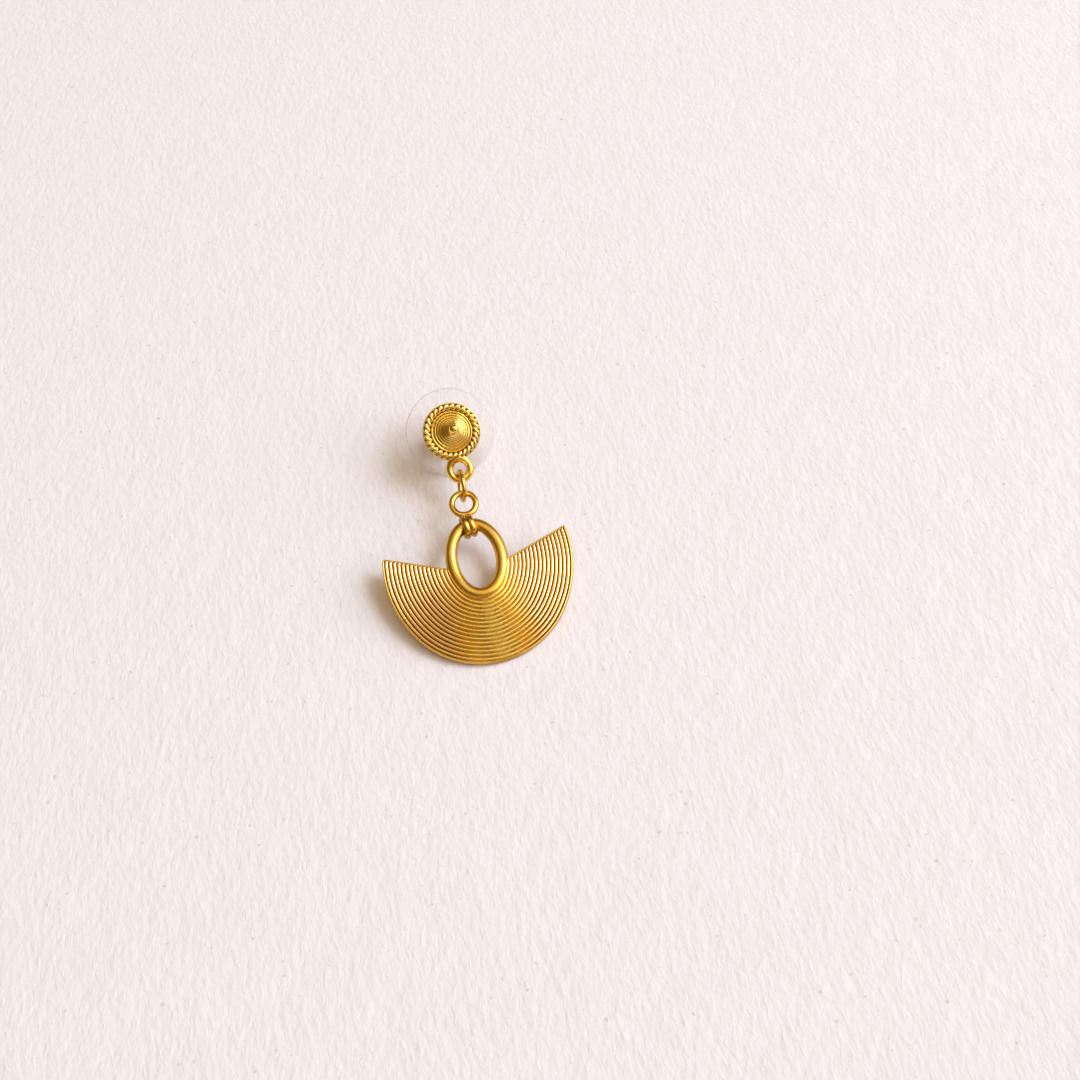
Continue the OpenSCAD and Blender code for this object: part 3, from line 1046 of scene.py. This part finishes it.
def build_camera():
    """The camera at the photo's angle and framing."""
    back, right, up = camera_axes()
    data = bpy.data.cameras.new("camera")
    data.sensor_width = SENSOR
    data.lens = FOCAL_PIXELS / PHOTO_SIDE * SENSOR
    data.clip_start = SEEN_FROM
    data.clip_end = SEEN_TO
    camera = bpy.data.objects.new("camera", data)
    turn = Matrix((right, up, back)).transposed().to_4x4()
    aim = Vector((*CAMERA_AIM, 0))
    camera.matrix_world = Matrix.Translation(aim + back * CAMERA_FAR) @ turn
    bpy.context.scene.collection.objects.link(camera)
    bpy.context.scene.camera = camera


def soft_light(name, across, away, far, width, radiance, colour):
    """A round soft light aimed at the earring, from shares of the picture's right and of the
    way over the table, with the brightness of its face."""
    right = camera_axes()[1]
    over = Vector((-right.y, right.x, 0))
    out = (right * across + over * away + Vector((0, 0, 1))).normalized()
    data = bpy.data.lights.new(name, "AREA")
    data.shape = "DISK"
    data.size = width
    data.energy = radiance * pi * pi * (width / 2) ** 2
    data.color = colour
    lamp = bpy.data.objects.new(name, data)
    turn = out.to_track_quat("Z", "Y").to_matrix().to_4x4()
    lamp.matrix_world = Matrix.Translation(out * far) @ turn
    bpy.context.scene.collection.objects.link(lamp)


def surroundings():
    """A dim studio that glows overhead, on the left and in front, with a bright window on the
    right. The camera itself sees a pale backdrop. A glow's two values in each direction are where
    it starts and where it is full."""
    world = bpy.data.worlds.new("surroundings")
    world.use_nodes = True
    tree = world.node_tree
    right = camera_axes()[1]
    split = tree.nodes.new("ShaderNodeSeparateXYZ")
    tree.links.new(tree.nodes.new("ShaderNodeTexCoord").outputs["Generated"], split.inputs[0])
    x, y, height = (Num(tree, socket) for socket in split.outputs)
    across = x * right.x + y * right.y
    over = y * right.x - x * right.y
    window = ramp(across, 0.34, 0.54) * ramp(height, 0.12, 0.34) * ramp(over.size(), 0.62, 0.38)
    overhead = ramp(height, 0.80, 0.97)
    on_left = ramp(across, -0.2, -0.6) * ramp(height, 0.1, 0.4)
    in_front = ramp(over, 0.0, -0.35) * ramp(height, 0.05, 0.4)
    in_front = in_front * ramp(across, -0.2, 0.1) * ramp(across, 0.6, 0.4)
    glows = ((OVERHEAD_GLOW, overhead), (LEFT_GLOW, on_left),
             (FRONT_GLOW, in_front), (WINDOW_GLOW, window))
    studio = tree.nodes.new("ShaderNodeCombineXYZ")
    for channel, socket in enumerate(studio.inputs):
        glow_sum = sum((share * glow[channel] for glow, share in glows), DIM_GLOW[channel])
        plug(tree, glow_sum, socket)
    seen = add(tree, "ShaderNodeLightPath")
    tone = mixed(tree, seen, studio.outputs[0], rgb(*BACKDROP))
    tree.links.new(tone, tree.nodes["Background"].inputs["Color"])
    bpy.context.scene.world = world


def build_light():
    """A high soft light from the right, and the glow of the studio."""
    soft_light("key", **KEY_LIGHT)
    surroundings()
    bpy.context.scene.view_settings.view_transform = "Standard"


def build():
    """The whole earring, its floor, light and camera."""
    build_camera()
    golds = {name: gold(name, *tones) for name, tones in GOLDS.items()}
    ring = ring_shape()
    build_stud(ring, golds["stud gold"])
    build_clutch(clear_plastic(), golds["barrel gold"])
    build_links(ring, golds["shaded link gold"])
    build_drop(ring, golds["shaded oval gold"], golds["fan gold"])
    build_floor()
    build_light()


build()
